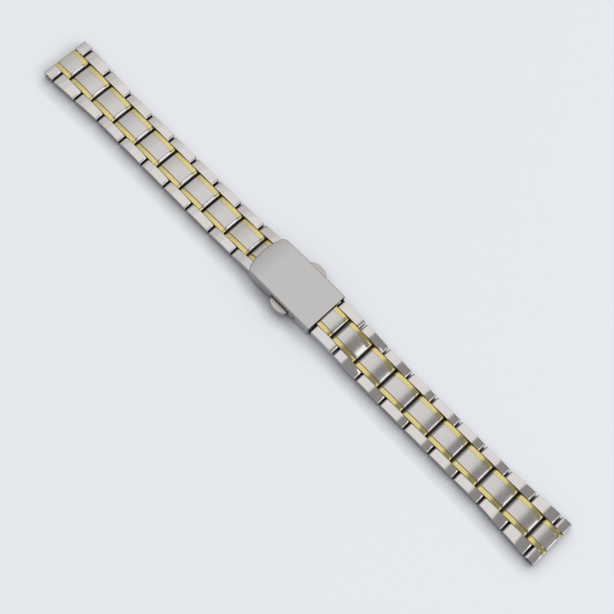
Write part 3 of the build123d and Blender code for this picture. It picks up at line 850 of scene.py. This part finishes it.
# %% [markdown]
# ## The table
#
# The bracelet lies on a plain pale table that is lit evenly right to the edges of the
# picture. Lamps alone would leave it uneven, so part of its brightness is its own glow,
# which only shows to the camera and in reflections and lights nothing. A glowing table has
# no shadow of its own, so the glow and the colour are both multiplied by how open the table
# is to the room. That is measured leaning away from the camera's side, because the lamps
# hang there, and so the soft shade falls on the near side, as in the photograph. It only
# looks a few millimetres far, and would miss the roof of the clasp cover. So a second
# measure looks straight up and farther, and takes all glow away where there is hardly sky.

# %% Table
TABLE_REACH = 3.0
TABLE_DARK, TABLE_PALE = (0.03, 0.03, 0.032), (0.675, 0.70, 0.745)
TABLE_GLOW = (0.93, 0.96, 1.0, 1)
GLOW_STRENGTH = 0.25
TABLE_ROUGHNESS, TABLE_GLOSS = 0.9, 0.1
LIGHT_LEAN = {"X": 0.0, "Y": 0.6, "Z": 0.8}
NEAR_REACH, SKY_REACH = 0.0042, 0.008
NEAR_POWER = 0.75
SKY_NONE, SKY_ENOUGH = 0.1, 0.45
OPENNESS_SAMPLES = 12

floor_mesh = bpy.data.meshes.new("table")
corners = [(-TABLE_REACH, -TABLE_REACH, 0), (TABLE_REACH, -TABLE_REACH, 0),
           (TABLE_REACH, TABLE_REACH, 0), (-TABLE_REACH, TABLE_REACH, 0)]
floor_mesh.from_pydata(corners, [], [(0, 1, 2, 3)])
floor = bpy.data.objects.new("table", floor_mesh)
bpy.context.scene.collection.objects.link(floor)
table_material, tree, shader = new_material("pale_table")
shader.inputs["Roughness"].default_value = TABLE_ROUGHNESS
shader.inputs["Specular IOR Level"].default_value = TABLE_GLOSS
shader.inputs["Emission Color"].default_value = TABLE_GLOW
ray = tree.nodes.new("ShaderNodeLightPath").outputs
seen = math(tree, "MAXIMUM", ray["Is Camera Ray"], ray["Is Glossy Ray"])
seen = math(tree, "MAXIMUM", seen, ray["Is Transmission Ray"])
lean = node(tree, "ShaderNodeCombineXYZ", **LIGHT_LEAN).outputs["Vector"]
openness = node(tree, "ShaderNodeAmbientOcclusion", {"samples": OPENNESS_SAMPLES},
                Distance=NEAR_REACH, Normal=lean).outputs["AO"]
sky = node(tree, "ShaderNodeAmbientOcclusion", {"samples": OPENNESS_SAMPLES},
           Distance=SKY_REACH).outputs["AO"]
roofless = node(tree, "ShaderNodeMapRange", {"clamp": True}, Value=sky, From_Min=SKY_NONE,
                From_Max=SKY_ENOUGH).outputs["Result"]
shade = math(tree, "MULTIPLY", math(tree, "POWER", openness, NEAR_POWER), roofless)
wire(tree, shader.inputs["Base Color"], colour_between(tree, shade, TABLE_DARK, TABLE_PALE))
glow = math(tree, "MULTIPLY", math(tree, "MULTIPLY", seen, shade), GLOW_STRENGTH)
wire(tree, shader.inputs["Emission Strength"], glow)
floor_mesh.materials.append(table_material)
print("table, m across:", 2 * TABLE_REACH)

# %% [markdown]
# ## The lamps
#
# Polished steel shows what stands around it, so the lamps are placed for what each part of a
# link mirrors. Three softboxes hang side by side high on the left, bright in the middle and
# dimmer outwards, and the flat tops show them. The lower right end of a link leans towards
# the bare room between those and a narrow strip, so it goes dark and then bright again at
# its rounded rim. A large lamp low on the right lights the rims that face it. A picture of a
# room could give all this at once, but then nobody could say which lamp makes which line.

# %% Lamps
DOWN = (0.0, 0.0, -1.0)
FACING_DOWN = -0.99
LAMPS = [
    # name, place, facing, width and height, brightness
    ("overhead_softbox", (-0.53, 1.05, 3.0), DOWN, (1.57, 5.1), 0.87),
    ("soft_edge_softbox", (-1.61, 1.05, 3.0), DOWN, (0.58, 5.1), 0.70),
    ("left_softbox", (-2.80, 1.05, 3.0), DOWN, (1.78, 5.1), 0.52),
    ("strip_softbox", (2.05, 1.00, 3.0), DOWN, (1.66, 0.50), 2.2),
    ("right_softbox", (1.60, 0.10, 0.95), (-1.60, 0.0, -0.95), (2.4, 1.1), 1.3),
]


def softbox(name, place, facing, size, brightness):
    """A rectangular lamp whose face has this brightness, where 1 looks white."""
    width, height = size
    data = bpy.data.lights.new(name, "AREA")
    data.shape = "RECTANGLE"
    data.size = width
    data.size_y = height
    data.energy = brightness * pi * width * height
    forward = Vector(facing).normalized()
    level = Vector((1, 0, 0)) if forward.z < FACING_DOWN else Vector((0, 1, 0))
    rising = forward.cross(level).normalized()
    turn = Matrix((level, -rising, -forward)).transposed()
    lamp = bpy.data.objects.new(name, data)
    lamp.matrix_world = Matrix.Translation(Vector(place)) @ turn.to_4x4()
    bpy.context.scene.collection.objects.link(lamp)


for lamp in LAMPS:
    softbox(*lamp)
print("lamps:", ", ".join(lamp[0] for lamp in LAMPS))

# %% [markdown]
# ## The room
#
# Whatever the steel mirrors besides the lamps and the table is a plain room of middle grey,
# slightly warm. The dark bands on the links are this grey. A black room would make them
# black, and a pale one would wash them out.

# %% Room
ROOM_GREY = (0.465, 0.450, 0.440, 1)
room = bpy.data.worlds.new("studio")
bpy.context.scene.world = room
room.use_nodes = True
room.node_tree.nodes["Background"].inputs["Color"].default_value = ROOM_GREY
room.node_tree.nodes["Background"].inputs["Strength"].default_value = 1.0
bpy.context.scene.view_settings.view_transform = "Standard"
print("room grey:", ROOM_GREY[:3])
